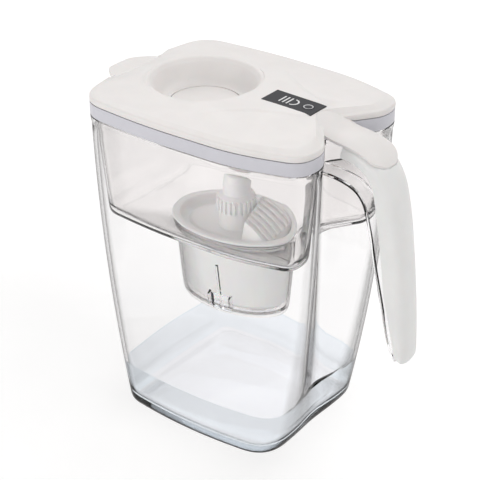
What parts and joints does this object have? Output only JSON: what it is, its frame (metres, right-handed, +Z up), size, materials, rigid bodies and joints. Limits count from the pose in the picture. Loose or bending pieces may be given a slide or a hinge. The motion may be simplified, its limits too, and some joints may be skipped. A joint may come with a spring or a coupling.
{
  "type": "water filter pitcher",
  "caption": "Tapered clear jug with an open-ended handle, a lift-out hopper with an oval cartridge, and a lid with a fill flap, a pour flap and a change indicator.",
  "frame": {"origin": "centre of the jug's base, at the height of the table it stands on", "axes": "+Z up, -X towards the pouring beak, +X towards the handle, the part is symmetric in shape about the plane Y=0"},
  "size_m": [0.2605, 0.1468, 0.2559],
  "materials": {
    "jug_clear": "clear polished plastic",
    "shell_white": "satin white plastic",
    "hopper_clear": "clear plastic with a faint cool tint",
    "collar_grey": "satin cool grey plastic",
    "cartridge_white": "slightly translucent white plastic",
    "knob_white": "matte white plastic",
    "seal_silicone": "soft translucent silicone",
    "felt": "pressed white felt",
    "media_grains": "dark granules",
    "grille_white": "matte white plastic",
    "lid_white": "satin warm white plastic",
    "steel": "drawn steel",
    "window_dark": "smooth dark plastic",
    "display_light": "light grey display",
    "case_grey": "matte grey plastic",
    "seal_dark": "soft dark rubber",
    "board_green": "solder-masked circuit board",
    "contact_gold": "plated spring contact",
    "cell_steel": "brushed nickel can",
    "button_dark": "matte dark plastic"
  },
  "bodies": {
    "jug_body": {"jug": "jug_clear", "handle_shell": "shell_white"},
    "hopper_body": {"hopper": "hopper_clear", "hopper_collar": "collar_grey"},
    "cartridge_body": {"cartridge_cup": "cartridge_white", "cartridge_cover": "cartridge_white", "cartridge_knob": "knob_white", "cartridge_seal": "seal_silicone", "upper_felt": "felt", "filter_media": "media_grains", "lower_felt": "felt", "outlet_grille": "grille_white"},
    "lid_body": {"lid": "lid_white", "flap_pin": "steel", "flap_spring": "steel", "spout_pin": "steel", "timer_window": "window_dark", "level_display": "display_light", "timer_case": "case_grey", "window_seal": "seal_dark", "circuit_board": "board_green", "battery_contact": "contact_gold", "coin_cell": "cell_steel", "battery_cover": "case_grey", "button_dome": "steel"},
    "fill_flap_body": {"fill_flap": "lid_white"},
    "spout_flap_body": {"spout_flap": "lid_white"},
    "button_body": {"reset_button": "button_dark"}
  },
  "joints": [
    {"name": "hopper_lift", "type": "slide", "parent": "jug_body", "child": "hopper_body", "axis": [0, 0, 1], "range_m": [0, 0.145]},
    {"name": "cartridge_lift", "type": "slide", "parent": "hopper_body", "child": "cartridge_body", "axis": [0, 0, 1], "range_m": [0, 0.038]},
    {"name": "lid_lift", "type": "slide", "parent": "hopper_body", "child": "lid_body", "axis": [0, 0, 1], "range_m": [0, 0.06]},
    {"name": "fill_flap_hinge", "type": "hinge", "parent": "lid_body", "child": "fill_flap_body", "pos_m": [-0.064, 0, 0.23125], "axis": [0, 1, 0], "range_deg": [0, 75], "stiffness_Nm_per_rad": 0.003, "springref_deg": -91.67},
    {"name": "spout_flap_hinge", "type": "hinge", "parent": "lid_body", "child": "spout_flap_body", "pos_m": [-0.096, 0, 0.2449], "axis": [0, 1, 0], "range_deg": [0, 75]},
    {"name": "reset_press", "type": "slide", "parent": "lid_body", "child": "button_body", "axis": [-0.0314, 0, -0.9995], "range_m": [0, 0.0007], "stiffness_N_per_m": 400, "springref_m": -0.0005}
  ]
}
